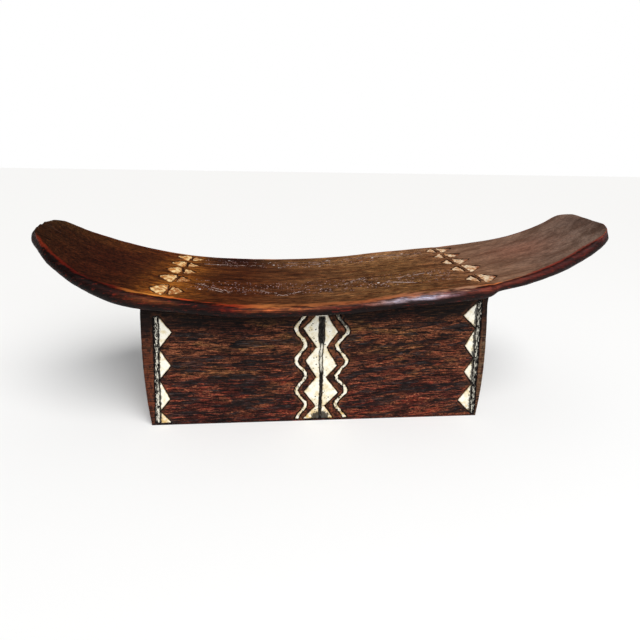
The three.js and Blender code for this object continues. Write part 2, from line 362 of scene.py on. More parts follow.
def build_board(material):
    loop = section_loop()
    around = len(loop)
    share = np.repeat(ring_shares(), around)
    kind = np.tile([k for k, _ in loop], RINGS)
    value = np.tile([v for _, v in loop], RINGS)
    middle, _, half_flat, thickness = board_ring(share)
    radius = thickness / 2
    flat = (kind == TOP) | (kind == UNDER)
    turn = np.where(flat, 0, value)
    tipness = np.maximum(
        ease((STATIONS[0, 0] + TIP_ROUNDING[0]) - middle[:, 0], 0, 20),
        ease(middle[:, 0] - (STATIONS[-1, 0] - TIP_ROUNDING[1]), 0, 20),
    )
    reach = np.abs(np.cos(turn)) ** SECTION_POWER * (1 - tipness)
    reach = reach + (0.62 + 0.38 * np.sin(turn)) * tipness
    rise = np.sign(np.sin(turn)) * np.abs(np.sin(turn)) ** SECTION_POWER
    side = np.where(kind == FRONT, -1.0, 1.0)
    reach = np.where(kind == TOP, tipness, np.where(kind == UNDER, 0.24 * tipness, reach))
    across = np.where(flat, value * (half_flat + radius * reach), side * (half_flat + radius * reach))
    lift = np.where(kind == TOP, radius, np.where(kind == UNDER, -radius, radius * rise))
    # The nick: the end of the left tip is pulled in, most at the middle of the nick.
    nick = 1 - np.abs(across - (NICK_FROM + NICK_TO) / 2) / ((NICK_TO - NICK_FROM) / 2)
    tip_share = NICK_FADES / (len(STATIONS) - 1)
    pull = np.clip(nick, 0, 1) * NICK_DEPTH * tip_share
    share = np.where(share < tip_share, share + pull * (1 - share / tip_share), share)
    places = board_place(share, across, lift)

    # Crest line: where the top turns into the rim, coloured as worn wood and a painted highlight.
    over_edge = np.abs(across) - half_flat - radius * tipness
    on_top_half = lift > -0.2 * radius
    from_crest = np.hypot(over_edge, np.maximum(radius - lift, 0))
    wide = 1.7 + 2.2 * ease(places[:, 0], -110, -60) * (1 - ease(places[:, 0], 96, 112))
    wide = wide + 1.2 * ease(-places[:, 0], 116, 130)
    wide = wide + 1.6 * ease(places[:, 0], 44, 60) * (1 - ease(places[:, 0], 96, 108))
    wide = wide * np.where(across < 0, 1, 0.5)
    crest = np.exp(-((from_crest / wide) ** 2)) * on_top_half
    crest *= 0.75 + 0.6 * lumps(places, (22, 9, 9), 5)
    crest *= 1 - 0.9 * ease(-places[:, 0], 196, 206)
    crest = np.clip(crest, 0, 1)

    # Chip pockets and the worn wood round them.
    plan = places[:, :2]
    cut = np.full(len(places), FAR)
    near = (kind == TOP) & (np.abs(np.abs(places[:, 0]) - BAND_AT) < 24)
    ragged = 0.7 * lumps(places, 3, 21)
    for _, corners, _, _ in CHIPS.values():
        cut[near] = np.minimum(cut[near], signed_distance(plan[near], closed(corners)))
    cut = cut + ragged * (cut < FAR - 9)
    pocket = np.clip((0.55 - cut) / 1.3, 0, 1)

    # Hand shaping: soft facets, a dented crest and the pockets.
    _, up, _, _ = board_ring(share)
    rim_out = np.stack([up[:, 0] * rise, side * np.abs(np.cos(turn)), up[:, 2] * rise], 1)
    outward = np.where(flat[:, None], up * np.sign(lift)[:, None], rim_out)
    shape = 0.28 * lumps(places, (38, 14, 14), 1) + 0.10 * lumps(places, (16, 3.2, 3.2), 2)
    shape -= 0.35 * crest * ease(lumps(places, (9, 6, 6), 3), 0.1, 0.6)
    shape += 0.22 * lumps(places, (11, 3, 3), 4) * (kind == FRONT)
    shape = np.minimum(shape, 0.35)
    places = places + outward * shape[:, None]
    places -= up * (POCKET_DEPTH * pocket)[:, None]

    rings = np.arange(len(places)).reshape(RINGS, around)
    faces = [face for a, b in zip(rings, rings[1:]) for face in strip(a, b)]
    first, last = len(places), len(places) + 1
    tips = np.stack([places[:around].mean(0), places[-around:].mean(0)])
    places = np.vstack([places, tips])
    for k in range(around):
        n = (k + 1) % around
        faces.append((first, n, k))
        faces.append((last, (RINGS - 1) * around + k, (RINGS - 1) * around + n))
    mesh = mesh_from("board_carved", places, faces)

    # Colours and shares for the material to read.
    spots = places[:-2]
    x = spots[:, 0]
    rear = ease(across / (half_flat + 0.01), 0.25, 0.95)
    tone = mixed(tone_along(x, TOP_TONES), tone_along(x, REAR_TONES), rear)
    gold = np.exp(-((np.abs(x + 110) / 17) ** 2)) * (0.6 + 0.6 * lumps(spots, (11, 8, 8), 8))
    gold *= 0.55 + 0.45 * ease(-across, -30, 40)
    tone = mixed(tone, np.array([srgb(190, 120, 40)]), gold * (kind == TOP))
    rim = tone_along(x, RIM_TONES)
    # The lower half of the rim is painted near black: painted shade under the rounded edge.
    rim = mixed(rim, np.array([srgb(16, 8, 7)]), 0.85 * ease(-lift / radius, -0.35, 0.35))
    # A painted highlight along the upper half of the front rim.
    highlight_height = 0.5 + 0.16 * lumps(spots, (30, 20, 20), 10)
    rim_highlight = np.exp(-(((lift / radius - highlight_height) / 0.3) ** 2)) * (kind == FRONT)
    rim_highlight = rim_highlight * (0.9 + 0.5 * lumps(spots, (9, 3, 3), 9))
    rim = mixed(rim, tone_along(x, RIM_HIGHLIGHT_TONES), rim_highlight * ease(x, -200, -120))
    on_rim = np.where(kind == TOP, 0.0, 1.0)
    on_rim *= 1 - ease(-x, 192, 204) * ease(lift / radius, -0.5, 0.6)
    tone = mixed(tone, rim, on_rim)
    patch = np.exp(-(((x - 168) / 26) ** 2 + ((across - 2) / 22) ** 2))
    tone = mixed(tone, np.array([srgb(150, 96, 76)]), 0.5 * patch * (kind == TOP))
    shares = {
        "tone": tone, "crest_tone": tone_along(x, CREST_TONES), "crest": crest, "rim": on_rim,
        # Where the painted highlight lies, for the material to read.
        "rim_highlight": rim_highlight * ease(x, -80, -60) * (1 - ease(x, 96, 110)),
        "cut": np.exp(-np.maximum(cut, 0)),
    }
    for name, values in shares.items():
        # The two points that close the tips come last: wood of the rim, with no mark on it.
        ends = values[[0, -1]] if values.ndim == 2 else np.full(2, float(name == "rim"))
        paint(mesh, name, np.concatenate([values, ends]))
    stands_for(add_object("board_carved", mesh, material), "headrest_board")


# ------ shaders
class Shader:
    """Short names for building one node material."""

    def __init__(self, name):
        self.material = bpy.data.materials.new(name)
        self.material.use_nodes = True
        self.tree = self.material.node_tree
        self.tree.nodes.clear()
        self.surface = self.add("BsdfPrincipled")
        self.add("OutputMaterial", Surface=self.surface.outputs["BSDF"])
        self.place = self.vector("SCALE", self.add("TexCoord").outputs["Object"], 1 / MM)
        self.colour = None

    def put(self, socket, value):
        if isinstance(value, bpy.types.NodeSocket):
            self.tree.links.new(value, socket)
        else:
            socket.default_value = value

    def fill(self, node, **inputs):
        """Sets a node's inputs; an underscore in a name stands for a space."""
        for name, value in inputs.items():
            self.put(node.inputs[name.replace("_", " ")], value)
        return node

    def add(self, kind, **inputs):
        return self.fill(self.tree.nodes.new("ShaderNode" + kind), **inputs)

    def finished(self, rough, specular, normal):
        """Gives the surface its looks and hands back the material."""
        looks = {"Base_Color": self.colour, "Roughness": rough, "Specular_IOR_Level": specular}
        self.fill(self.surface, Normal=normal, **looks)
        return self.material

    def vector(self, operation, a, b):
        node = self.add("VectorMath")
        node.operation = operation
        self.put(node.inputs[0], a)
        self.put(node.inputs["Scale"] if operation == "SCALE" else node.inputs[1], b)
        single = operation in ("DOT_PRODUCT", "DISTANCE")
        return node.outputs["Value" if single else "Vector"]

    def maths(self, operation, a, b=0.0, clamp=False):
        node = self.add("Math")
        node.operation, node.use_clamp = operation, clamp
        self.put(node.inputs[0], a)
        self.put(node.inputs[1], b)
        return node.outputs[0]

    def times(self, *values):
        product = values[0]
        for value in values[1:]:
            product = self.maths("MULTIPLY", product, value)
        return product

    def plus(self, a, b):
        return self.maths("ADD", a, b)

    def minus(self, a, b, clamp=False):
        return self.maths("SUBTRACT", a, b, clamp)

    def larger(self, a, b):
        return self.maths("MAXIMUM", a, b)

    def smaller(self, a, b):
        return self.maths("MINIMUM", a, b)

    def size(self, value):
        return self.maths("ABSOLUTE", value)

    def stretched(self, size):
        return self.vector("MULTIPLY", self.place, tuple(1 / s for s in size))

    def noise(self, size, detail=4.0, rough=0.55, warp=0.0, shift=(0, 0, 0)):
        """Noise whose features are about size (mm along x, y, z)."""
        at = self.vector("ADD", self.stretched(size), shift)
        node = self.add("TexNoise", Vector=at, Scale=1, Detail=detail, Roughness=rough, Distortion=warp)
        return node.outputs["Fac"]

    def patches(self, low, high, *noise, **more):
        """Patches of noise with edges from low to high."""
        return self.ramp(self.noise(*noise, **more), low, high)

    def dots(self, size, randomness=1.0):
        """Distance to the nearest of scattered dots, in shares of size (mm)."""
        node = self.add("TexVoronoi", Vector=self.stretched(size), Scale=1, Randomness=randomness)
        return node.outputs["Distance"]

    def ramp(self, value, low, high):
        """0 at low and below, 1 at high and above; low may be the larger."""
        node = self.add("MapRange", Value=value, From_Min=low, From_Max=high)
        node.interpolation_type = "SMOOTHSTEP" if low < high else "LINEAR"
        return node.outputs["Result"]

    def over(self, share, colour, strength=None):
        """Lays a colour over the colour so far."""
        if strength is not None:
            share = self.times(share, strength)
        self.colour = self.mix(share, self.colour, colour)

    def darkened(self, tint):
        return self.mix(1.0, self.colour, tint, "MULTIPLY")

    def mix(self, share, a, b, blend="MIX"):
        node = self.add("Mix")
        node.data_type, node.blend_type = "RGBA", blend
        self.put(node.inputs[0], share)
        for socket, colour in ((node.inputs[6], a), (node.inputs[7], b)):
            self.put(socket, colour if isinstance(colour, bpy.types.NodeSocket) else (*colour, 1))
        return node.outputs[2]

    def read(self, name, colour=False):
        node = self.add("Attribute")
        node.attribute_name = name
        return node.outputs["Color" if colour else "Fac"]

    def split(self):
        return self.add("SeparateXYZ", Vector=self.place).outputs

    def bump(self, height, depth, normal=None):
        """Relief of a height from 0 to 1, depth mm deep."""
        node = self.add("Bump", Distance=depth * MM, Height=height)
        if normal is not None:
            self.put(node.inputs["Normal"], normal)
        return node.outputs["Normal"]

    def line(self, a, b):
        """Distance in plan (mm) from the line between two points."""
        run = (b[0] - a[0], b[1] - a[1], 0.0)
        away = self.vector("SUBTRACT", self.flat, (*a, 0.0))
        size = run[0] ** 2 + run[1] ** 2
        share = self.maths("MULTIPLY", self.vector("DOT_PRODUCT", away, run), 1 / size, clamp=True)
        return self.vector("DISTANCE", away, self.vector("SCALE", run, share))


# Scratched lines on the board, in plan (mm): chevrons and strokes in two lengthwise rows.
SCRATCHES = [
    [(-92, -22.5), (-67, -40)], [(-86, -31), (-70, -42)],
    [(-48, -32), (-28.5, -47), (-15, -38)],
    [(34.5, -13.5), (41, -38.6), (52, -32), (66, -40.5)], [(19, -24.5), (34, -16)],
    [(55.5, -33.5), (70.6, -42.5)], [(86, -29), (99, -34)], [(60, -24), (90, -18)],
    [(-112, 32), (-79, 40), (-46.5, 43)], [(-21, 53.4), (16, 53.6)], [(30, 55.6), (76, 49.8)],
    [(75, 46), (103, 45.5)], [(-30, 44), (10, 45)],
]
ROSETTE = (4.3, -36.8)
ROSETTE_RADIUS = 3.2


def board_material():
    s = Shader("board_wood_worn")
    x, y, _ = s.split()
    wobble = s.times(s.minus(s.noise((6, 6, 6), 2), 0.5), 0.9)
    s.flat = s.add("CombineXYZ", X=x, Y=s.plus(y, wobble)).outputs[0]

    broad = s.noise((60, 9, 9), 4, 0.6, 0.3)
    grain = s.noise((26, 1.1, 1.1), 5, 0.65, 0.4)
    fine = s.noise((9, 0.45, 0.45), 3, 0.6)
    s.colour = s.read("tone", True)
    calm = s.minus(1.0, s.times(s.ramp(x, 112, 128), 0.62))

    def shade(share, tint):
        s.over(s.times(share, calm), s.darkened(tint))

    s.over(s.ramp(broad, 0.35, 0.7), s.darkened((0.56, 0.50, 0.46)))
    mottle = s.noise((7, 3.2, 3.2), 5, 0.7, 0.4, (3, 3, 3))
    shade(s.ramp(mottle, 0.44, 0.62), (0.66, 0.58, 0.52))
    shade(s.ramp(mottle, 0.46, 0.34), (1.5, 1.42, 1.3))
    shade(s.ramp(grain, 0.47, 0.60), (0.40, 0.32, 0.28))
    shade(s.ramp(grain, 0.46, 0.38), (1.5, 1.46, 1.4))
    shade(s.ramp(fine, 0.52, 0.66), (2.0, 1.8, 1.6))
    shade(s.ramp(fine, 0.48, 0.36), (0.5, 0.44, 0.42))
    reds = s.patches(0.50, 0.64, (34, 5, 5), 4, 0.6, 0.4, (6, 6, 1))
    shade(s.times(reds, 0.6), (0.85, 0.55, 0.42))

    # Crest along the rim, worn wood with a painted highlight, ragged at its edges; then red and sooty
    # patches, and darker breaks in the painted highlight on the upper rim.
    crest = s.read("crest")
    ragged = s.plus(crest, s.times(s.minus(s.noise((9, 1.6, 1.6), 4), 0.5), 1.3))
    worn = s.ramp(s.times(ragged, s.ramp(crest, 0.02, 0.3)), 0.35, 0.85)
    s.over(worn, s.read("crest_tone", True), 0.9)
    rim = s.read("rim")
    red = s.times(rim, s.patches(0.56, 0.7, (7, 1.4, 1.4), 4, 0.7))
    s.over(red, srgb(120, 34, 18), 0.75)
    soot = s.patches(0.5, 0.68, (18, 3, 3), 4, 0.6, shift=(4, 7, 1))
    soot = s.times(soot, s.minus(rim, s.read("rim_highlight"), clamp=True))
    s.over(soot, srgb(14, 6, 5), 0.8)
    # Darker patches that break up the painted highlight.
    highlight_breaks = s.patches(0.50, 0.60, (4, 0.9, 0.9), 4, 0.7, shift=(2, 9, 4))
    highlight_breaks = s.times(s.read("rim_highlight"), highlight_breaks)
    s.over(highlight_breaks, s.darkened((0.3, 0.25, 0.28)), 0.6)

    # Scratched and punched lines with chalk left in them.
    lines = None
    for stroke in SCRATCHES:
        for a, b in zip(stroke, stroke[1:]):
            away = s.line(a, b)
            lines = away if lines is None else s.smaller(lines, away)
    from_centre = s.vector("DISTANCE", s.flat, (*ROSETTE, 0.0))
    ring = s.size(s.minus(from_centre, ROSETTE_RADIUS))
    lines = s.smaller(lines, s.smaller(ring, from_centre))
    between_bands = s.times(s.ramp(x, -100, -95), s.ramp(x, 106, 100))
    on_top = s.times(s.minus(1.0, rim, clamp=True), between_bands)
    groove = s.times(s.ramp(lines, 0.55, 0.25), on_top)
    twin = s.size(s.minus(lines, 1.9))
    twin = s.times(s.ramp(twin, 0.38, 0.15), on_top)
    broken = s.patches(0.47, 0.53, (9, 9, 9), 4, 0.75, shift=(3, 1, 0))
    sparse = s.patches(0.55, 0.61, (6, 6, 6), 3, 0.75, shift=(8, 1, 5))
    chalk = s.larger(s.times(groove, broken), s.times(twin, sparse))
    near_row = s.ramp(s.size(s.plus(y, 28.0)), 16.5, 13.5)
    far_row = s.ramp(s.size(s.minus(y, 46.0)), 12.5, 9.5)
    rows = s.times(s.larger(near_row, far_row), on_top)
    crowd = s.times(s.patches(0.40, 0.48, (11, 6, 6), 3, 0.6, shift=(9, 9, 2)), rows)
    holes = s.times(s.ramp(s.dots((2.2, 3.2, 60), 0.75), 0.34, 0.22), crowd)
    bits = s.patches(0.46, 0.53, (3.4, 3.4, 9), 3, 0.7, shift=(1, 4, 4))
    flecks = s.ramp(s.dots((1.9, 3.0, 60), 0.9), 0.34, 0.2)
    flecks = s.times(flecks, crowd, bits)
    rare = s.patches(0.56, 0.62, (13, 13, 13), 2, 0.6, shift=(6, 2, 8))
    blobs = s.times(s.ramp(s.dots((6.5, 6.0, 60), 1.0), 0.22, 0.15), rare)
    blobs = s.times(blobs, rows)
    shadow = s.times(s.ramp(lines, 1.6, 0.6), on_top, 0.55)
    s.over(holes, srgb(42, 20, 13), 0.8)
    s.over(shadow, srgb(52, 26, 16))
    s.over(flecks, srgb(178, 146, 146), 0.8)
    s.over(chalk, srgb(204, 176, 166), 0.85)
    s.over(blobs, srgb(232, 220, 214), 0.95)

    # Dark walls of the chip pockets.
    cut = s.read("cut")
    edge = s.ramp(s.plus(cut, s.times(s.noise((3, 3, 3), 3), 0.9)), 0.80, 1.12)
    s.over(edge, srgb(34, 16, 9), 0.92)

    sweep = s.patches(0.3, 0.7, (30, 4, 4), 4, 0.6, shift=(1, 5, 3))
    rough = s.plus(0.42, s.times(sweep, 0.2))
    rough = s.minus(rough, s.times(worn, 0.12))
    normal = s.bump(fine, 0.10, s.bump(grain, 0.22))
    marks = s.larger(s.larger(groove, holes), s.times(edge, 0.7))
    normal = s.bump(s.minus(1.0, marks), 0.35, normal)
    return s.finished(rough, 0.12, normal)


# ------ the block
FACE_COLUMNS = 260
FACE_ROWS = 122
DEPTH_LAYERS = 20
CORNER = 1.4
BLOCK_LO, BLOCK_HI = (np.array(c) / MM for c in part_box("base_block"))
HALF_DEPTH = BLOCK_HI[1]


def cad_surface(node):
    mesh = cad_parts[node].data
    return BVHTree.FromPolygons([v.co[:] for v in mesh.vertices], [p.vertices[:] for p in mesh.polygons])


def block_profile():
    """How far the block reaches left, right and up, measured on its CAD solid."""
    surface = cad_surface("base_block")
    off_tenon = 30
    heights = np.linspace(1.5, 96, 40)
    left, right = [], []
    for z in heights:
        hit = surface.ray_cast(Vector((-1, off_tenon * MM, z * MM)), Vector((1, 0, 0)))[0]
        left.append(hit.x / MM)
        hit = surface.ray_cast(Vector((1, off_tenon * MM, z * MM)), Vector((-1, 0, 0)))[0]
        right.append(hit.x / MM)
    spans = np.linspace(left[-1] + 3, right[-1] - 3, 60)
    tops = []
    for x in spans:
        hit = surface.ray_cast(Vector((x * MM, off_tenon * MM, 1)), Vector((0, 0, -1)))[0]
        tops.append(hit.z / MM)
    return (heights, np.array(left), np.array(right)), (spans, np.array(tops))


(SIDE_HEIGHTS, SIDE_LEFT, SIDE_RIGHT), (TOP_SPANS, TOP_HEIGHTS) = block_profile()


def block_edges(z):
    return np.interp(z, SIDE_HEIGHTS, SIDE_LEFT), np.interp(z, SIDE_HEIGHTS, SIDE_RIGHT)


def block_point(u, v, inset):
    """Place on a long face at shares across and up, kept inset mm from the outline."""
    x = BLOCK_LO[0] + u * (BLOCK_HI[0] - BLOCK_LO[0])
    z = np.full_like(x, 50.0)
    for _ in range(4):
        top = np.interp(x, TOP_SPANS, TOP_HEIGHTS)
        z = inset + v * (top - 2 * inset)
        left, right = block_edges(z)
        x = left + inset + u * (right - left - 2 * inset)
    return np.stack([x, z], 1)


def face_outlines(node, side):
    """Outline segments in x and z (mm) of a filling's outer face."""
    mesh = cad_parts[node].data
    places = np.array([v.co[:] for v in mesh.vertices]) / MM
    on_face = np.abs(places[:, 1] - side * HALF_DEPTH) < 0.02
    spot = {}
    label = [spot.setdefault((round(p[0], 2), round(p[2], 2)), len(spot)) for p in places]
    corners = {v: np.array(k) for k, v in spot.items()}
    uses = {}
    for polygon in mesh.polygons:
        if not all(on_face[i] for i in polygon.vertices):
            continue
        ring = [label[i] for i in polygon.vertices]
        for a, b in zip(ring, ring[1:] + ring[:1]):
            key = (min(a, b), max(a, b))
            uses[key] = uses.get(key, 0) + 1
    return [(corners[a], corners[b]) for (a, b), n in uses.items() if n == 1 and a != b]


FILLING_NAMES = [n for n in sorted(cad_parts) if n.startswith(("front_", "back_"))]
WHITE_NAMES = [n for n in FILLING_NAMES if "_line_" not in n]
LINE_NAMES = [n for n in FILLING_NAMES if "_line_" in n]
OUTLINES = {n: face_outlines(n, -1 if n.startswith("front") else 1) for n in WHITE_NAMES + LINE_NAMES}


def frame_line(hand):
    """Foot and head of a side line's middle, in x and z (mm)."""
    ends = np.array([p for segment in OUTLINES[f"front_line_{hand}"] for p in segment])
    low, high = ends[:, 1].min(), ends[:, 1].max()
    return [(ends[ends[:, 1] == z, 0].mean(), z) for z in (low, high)]


def build_block(material):
    u, v = np.meshgrid(np.linspace(0, 1, FACE_COLUMNS + 1), np.linspace(0, 1, FACE_ROWS + 1))
    u, v = u.ravel(), v.ravel()
    grid = block_point(u, v, CORNER)
    columns, rows = FACE_COLUMNS + 1, FACE_ROWS + 1
    index = np.arange(columns * rows).reshape(rows, columns)
    rim = np.concatenate([index[0, :-1], index[:-1, -1], index[-1, :0:-1], index[:0:-1, 0]])
    outer = block_point(u[rim], v[rim], 0.0)

    places, gaps = [], []
    for side in (-1, 1):
        face = "front" if side < 0 else "back"
        away = np.full(len(grid), FAR)
        for name, segments in OUTLINES.items():
            if name.startswith(face):
                away = np.minimum(away, signed_distance(grid, segments))
        spot = np.stack([grid[:, 0], np.full(len(grid), side * 40.0), grid[:, 1]], 1)
        away = away + 0.35 * lumps(spot, 2.5, 31)
        recess = np.clip((0.6 - away) / 1.4, 0, 1)
        hand = 0.34 * lumps(spot, (34, 40, 7), 41) + 0.26 * lumps(spot, (13, 40, 2.6), 42, 2)
        edge = np.minimum(np.minimum(u, 1 - u) * 260, np.minimum(v, 1 - v) * 96)
        hand *= ease(edge, 0, 4)
        depth = HALF_DEPTH - 0.35 + np.minimum(hand, 0.33) - RECESS_DEPTH * recess
        places.append(np.stack([grid[:, 0], side * depth, grid[:, 1]], 1))
        gaps.append(away)
    start = 2 * len(grid)
    around = len(rim)
    layers = np.linspace(-(HALF_DEPTH - CORNER), HALF_DEPTH - CORNER, DEPTH_LAYERS)
    half = math.sqrt(0.5)
    ring_y = [-(HALF_DEPTH - CORNER * (1 - half)), *layers, HALF_DEPTH - CORNER * (1 - half)]
    inset = [CORNER * (1 - half), *([0.0] * DEPTH_LAYERS), CORNER * (1 - half)]
    for y, pull in zip(ring_y, inset):
        ring = outer + (grid[rim] - outer) * (pull / CORNER)
        spot = np.stack([ring[:, 0], np.full(around, y), ring[:, 1]], 1)
        inward = grid[rim] - outer
        inward /= np.linalg.norm(inward, axis=1)[:, None]
        dent = 0.3 + 0.45 * lumps(spot, (9, 14, 6), 51)
        dent = np.clip(dent, 0, 1) * 0.6
        ring = ring + inward * dent[:, None]
        ring[outer[:, 1] < 0.5, 1] = 0.0  # the underside stays flat
        places.append(np.stack([ring[:, 0], np.full(around, y), ring[:, 1]], 1))
        gaps.append(np.full(around, FAR))
    places = np.vstack(places)
    faces = []
    for k, flip in ((0, False), (1, True)):
        base = k * len(grid)
        for r in range(rows - 1):
            for c in range(columns - 1):
                quad = index[r, c], index[r, c + 1], index[r + 1, c + 1], index[r + 1, c]
                faces.append(tuple(int(base + i) for i in (quad[::-1] if flip else quad)))
    rings = [rim, *[start + k * around + np.arange(around) for k in range(len(ring_y))], len(grid) + rim]
    for a, b in zip(rings, rings[1:]):
        faces += strip(b, a)
    mesh = mesh_from("block_carved", places, faces)
    away = np.concatenate(gaps)
    away = np.maximum(away, 0)
    # How near each point lies to a recess edge and its halo; the edge carries the pitch and the painted
    # groove shade.
    paint_all(mesh, edge=np.exp(-away / 0.9), halo=np.exp(-away / 2.6))
    line_left, line_right = (np.array(frame_line(h)) for h in ("left", "right"))
    at_left = np.interp(places[:, 2], line_left[:, 1], line_left[:, 0])
    at_right = np.interp(places[:, 2], line_right[:, 1], line_right[:, 0])
    beyond = np.maximum(at_left - places[:, 0], places[:, 0] - at_right)
    paint(mesh, "border", ease(beyond, 0.5, 2.5))
    stands_for(add_object("block_carved", mesh, material), "base_block")


TRACK_SLOPE = (0.0, 0.0, -0.14)


def block_material():
    s = Shader("base_wood_adzed")
    x, _, z = s.split()
    patch = s.noise((36, 30, 12), 4, 0.6, 0.6)
    warm = s.noise((20, 20, 6), 5, 0.7, 0.8, (5, 1, 2))
    streak = s.noise((17, 12, 1.15), 5, 0.68, 0.7)
    fine = s.noise((6, 5, 0.62), 5, 0.75, 0.4)
    fleck = s.noise((2.0, 1.0, 0.8), 3, 0.75)
    low_down = s.ramp(z, 60, 20)
    ground = s.mix(low_down, srgb(138, 79, 52), srgb(134, 61, 46))
    s.colour = s.mix(s.ramp(streak, 0.44, 0.58), ground, srgb(16, 9, 8))
    reddish = s.times(s.ramp(warm, 0.48, 0.60), s.ramp(streak, 0.60, 0.48))
    reddish = s.times(reddish, s.plus(0.25, s.times(low_down, 0.5)))
    s.over(reddish, srgb(150, 54, 34))
    golden = s.times(s.ramp(patch, 0.50, 0.62), s.ramp(streak, 0.60, 0.46))
    golden = s.times(golden, s.minus(0.85, s.times(low_down, 0.6)))
    s.over(golden, srgb(146, 102, 58))
    s.over(s.ramp(fine, 0.49, 0.54), s.darkened((0.22, 0.19, 0.20)))
    s.over(s.ramp(fine, 0.46, 0.38), s.darkened((1.6, 1.55, 1.55)))
    bright = s.times(s.ramp(fleck, 0.54, 0.62), s.ramp(streak, 0.60, 0.44))
    s.over(bright, srgb(196, 122, 84), 0.8)
    # Dark clouds and long blue-black adze tracks with pale scratches, rising on the right half.
    level = s.place
    s.place = s.vector("ADD", level, s.vector("SCALE", TRACK_SLOPE, s.larger(x, 0.0)))
    cloud = s.noise((40, 20, 9), 4, 0.6, 1.0, (2, 9, 4))
    track = s.noise((48, 20, 5.5), 4, 0.62, 1.2, (7, 3, 8))
    s.place = level
    dim = s.darkened((0.30, 0.27, 0.32))
    s.over(s.ramp(cloud, 0.49, 0.58), dim)
    inside = s.ramp(track, 0.505, 0.545)
    scratch = s.patches(0.54, 0.62, (9, 2, 0.6), 3, 0.7, shift=(2, 2, 9))
    tar = s.mix(s.times(scratch, 0.9), srgb(14, 12, 14), srgb(72, 66, 66))
    s.over(inside, tar, 0.8)
    pores = s.patches(0.52, 0.58, (2.6, 0.8, 0.5), 3, 0.8, shift=(4, 2, 6))
    s.over(pores, srgb(12, 8, 8), 0.75)

    # Darker under the board: painted shadow and dark patina; brown between the inlays; black along every
    # recess edge: pitch, with painted shade in the grooves.
    under = s.ramp(s.plus(z, s.times(x, -0.03)), 78, 88)
    s.over(under, srgb(14, 9, 9), 0.85)
    border = s.times(s.read("border"), s.ramp(streak, 0.62, 0.46))
    strip = s.mix(s.ramp(x, -20, 20), srgb(104, 54, 34), srgb(106, 84, 62))
    strip = s.mix(s.patches(0.48, 0.58, (2.2, 3, 4), 4, 0.75), strip, srgb(40, 20, 15))
    strip = s.mix(s.ramp(z, 62, 84), strip, srgb(30, 18, 14))
    s.over(border, strip, 0.9)
    middle = s.ramp(s.size(x), 22, 17)
    brown = s.plus(s.times(middle, 0.6), 0.35)
    halo = s.times(s.ramp(s.read("halo"), 0.25, 0.55), brown)
    halo = s.times(halo, s.patches(0.56, 0.44, (4, 4, 7), 4, 0.7, 0.5, (5, 5, 5)))
    s.over(s.times(halo, s.ramp(fine, 0.66, 0.46)), srgb(118, 72, 46))
    smoke = s.patches(0.52, 0.6, (5, 5, 8), 4, 0.7, 0.5, (1, 7, 3))
    smoke = s.times(smoke, middle, 0.8)
    s.over(smoke, srgb(26, 15, 12))
    # Black along the recess edges: pitch, with painted shade in the grooves.
    edge = s.plus(s.read("edge"), s.times(s.minus(fleck, 0.5), 0.9))
    s.over(s.ramp(edge, 0.32, 0.6), srgb(13, 10, 10))

    return s.finished(s.plus(0.5, s.times(streak, 0.25)), 0.1, s.bump(fine, 0.5, s.bump(streak, 0.9)))


# ------ fillings
def kneaded(draft, voxel, smooth):
    """A soft-edged dense copy of a closed mesh, and its vertices in mm."""
    source = placed("draft", draft)
    remesh = source.modifiers.new("remesh", "REMESH")
    remesh.mode = "VOXEL"
    remesh.voxel_size = voxel * MM
    soften = source.modifiers.new("soften", "SMOOTH")
    soften.factor = 0.5
    soften.iterations = smooth
    evaluated = source.evaluated_get(bpy.context.evaluated_depsgraph_get())
    mesh = bpy.data.meshes.new_from_object(evaluated)
    bpy.data.objects.remove(source)
    places = np.zeros(len(mesh.vertices) * 3)
    mesh.vertices.foreach_get("co", places)
    return mesh, places.reshape(-1, 3) / MM


def place_back(mesh, places):
    mesh.vertices.foreach_set("co", (places * MM).astype(np.float32).ravel())
    mesh.update()


CENTRE_HALF = 1.7  # half width of the groove cut for the centre line


def centre_line_shift(x, z, side):
    """Moves what lies near the centre line, so that it is broad at the top and meanders below."""
    spot = np.column_stack([np.zeros(len(x)), np.full(len(x), side * 20.0), z])
    broad = ease(z, 65, 69)
    reach = 0.95 + 0.3 * ease(z, 40, 48) + 1.0 * broad + 0.3 * lumps(spot, (9, 9, 3), 81)
    size = np.abs(x)
    inner = size * reach / CENTRE_HALF
    outer = reach + (size - CENTRE_HALF) * (6 - reach) / (6 - CENTRE_HALF)
    moved = np.where(size < CENTRE_HALF, inner, np.where(size < 6, outer, size))
    meander = 0.75 * lumps(spot, (9, 9, 11), 82, 2) * (1 - ease(size, 3, 9)) * (1 - broad)
    return np.sign(x) * moved + meander


def wave_middle(hand):
    return np.mean([(a + b) / 2 for a, b in OUTLINES[f"front_wave_{hand}"]], 0)[0]


